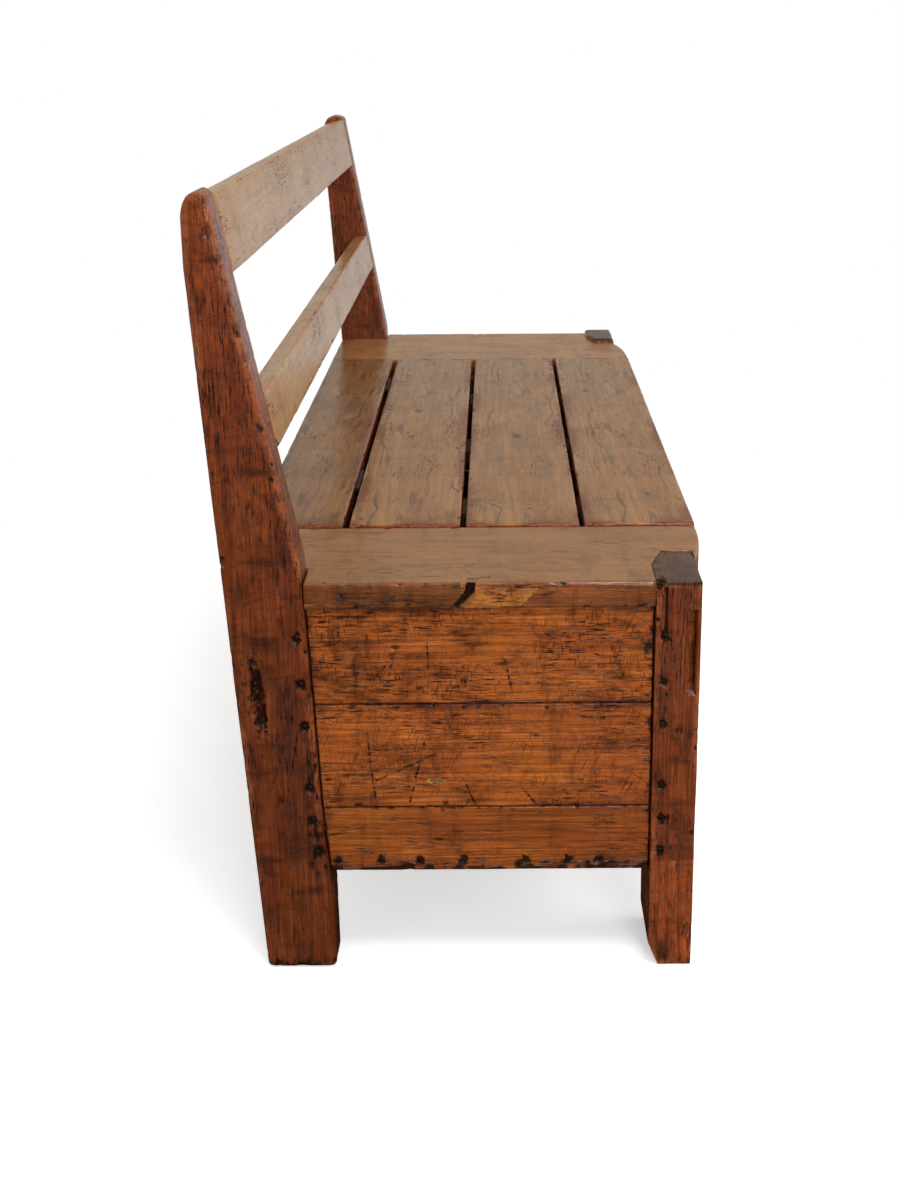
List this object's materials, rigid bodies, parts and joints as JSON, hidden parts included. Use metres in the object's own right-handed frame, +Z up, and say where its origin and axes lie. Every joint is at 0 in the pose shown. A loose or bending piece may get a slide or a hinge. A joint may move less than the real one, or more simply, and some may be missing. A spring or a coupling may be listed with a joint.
{
  "type": "settle bench",
  "caption": "Old pine box settle: boarded chest with a lift-up plank seat, raked plank posts and an open railed back.",
  "frame": {"origin": "on the floor, under the middle of the whole settle", "axes": "+X along the length, -Y towards the front of the seat, +Z up"},
  "size_m": [1.2, 0.524, 0.85],
  "materials": {
    "post_pine": "waxed, worn",
    "end_board_pine": "waxed, scratched",
    "seat_end_pine": "waxed, polished by use",
    "seat_plank_pine": "waxed, polished by use",
    "rail_pine": "waxed, polished by use",
    "chest_pine": "waxed, scratched",
    "inner_pine": "bare, dry",
    "iron": "dark, forged"
  },
  "bodies": {
    "frame": {"back_board_nails": "iron", "back_bottom_board": "chest_pine", "back_middle_board": "chest_pine", "back_post_left": "post_pine", "back_post_right": "post_pine", "back_rail_pegs": "inner_pine", "back_top_board": "chest_pine", "end_board_bottom_left": "end_board_pine", "end_board_bottom_right": "end_board_pine", "end_board_middle_left": "end_board_pine", "end_board_middle_right": "end_board_pine", "end_board_top_left": "end_board_pine", "end_board_top_right": "end_board_pine", "end_nails_left": "iron", "end_nails_right": "iron", "floor_bearer_left": "inner_pine", "floor_bearer_nails": "iron", "floor_bearer_right": "inner_pine", "floor_board_front": "inner_pine", "floor_board_middle": "inner_pine", "floor_board_rear": "inner_pine", "floor_nails_left": "iron", "floor_nails_right": "iron", "front_bottom_board": "chest_pine", "front_middle_board": "chest_pine", "front_post_left": "post_pine", "front_post_right": "post_pine", "front_top_rail": "chest_pine", "hinge_fixed_leaf_left": "iron", "hinge_fixed_leaf_right": "iron", "hinge_fixed_screws": "iron", "hinge_pin_left": "iron", "hinge_pin_right": "iron", "middle_back_rail": "rail_pine", "rear_seat_plank": "seat_plank_pine", "seat_bearer_left": "inner_pine", "seat_bearer_nails": "iron", "seat_bearer_right": "inner_pine", "seat_end_board_left": "seat_end_pine", "seat_end_board_right": "seat_end_pine", "top_back_rail": "rail_pine"},
    "lid": {"hinge_moving_leaf_left": "iron", "hinge_moving_leaf_right": "iron", "hinge_moving_screws": "iron", "lid_batten_left": "inner_pine", "lid_batten_middle": "inner_pine", "lid_batten_nails": "iron", "lid_batten_right": "inner_pine", "lid_plank_front": "seat_plank_pine", "lid_plank_middle": "seat_plank_pine", "lid_plank_rear": "seat_plank_pine"}
  },
  "joints": [
    {"name": "lid_hinge", "type": "hinge", "parent": "frame", "child": "lid", "pos_m": [0, 0.13375, 0.4505], "axis": [-1, 0, 0], "range_deg": [0, 102]}
  ]
}
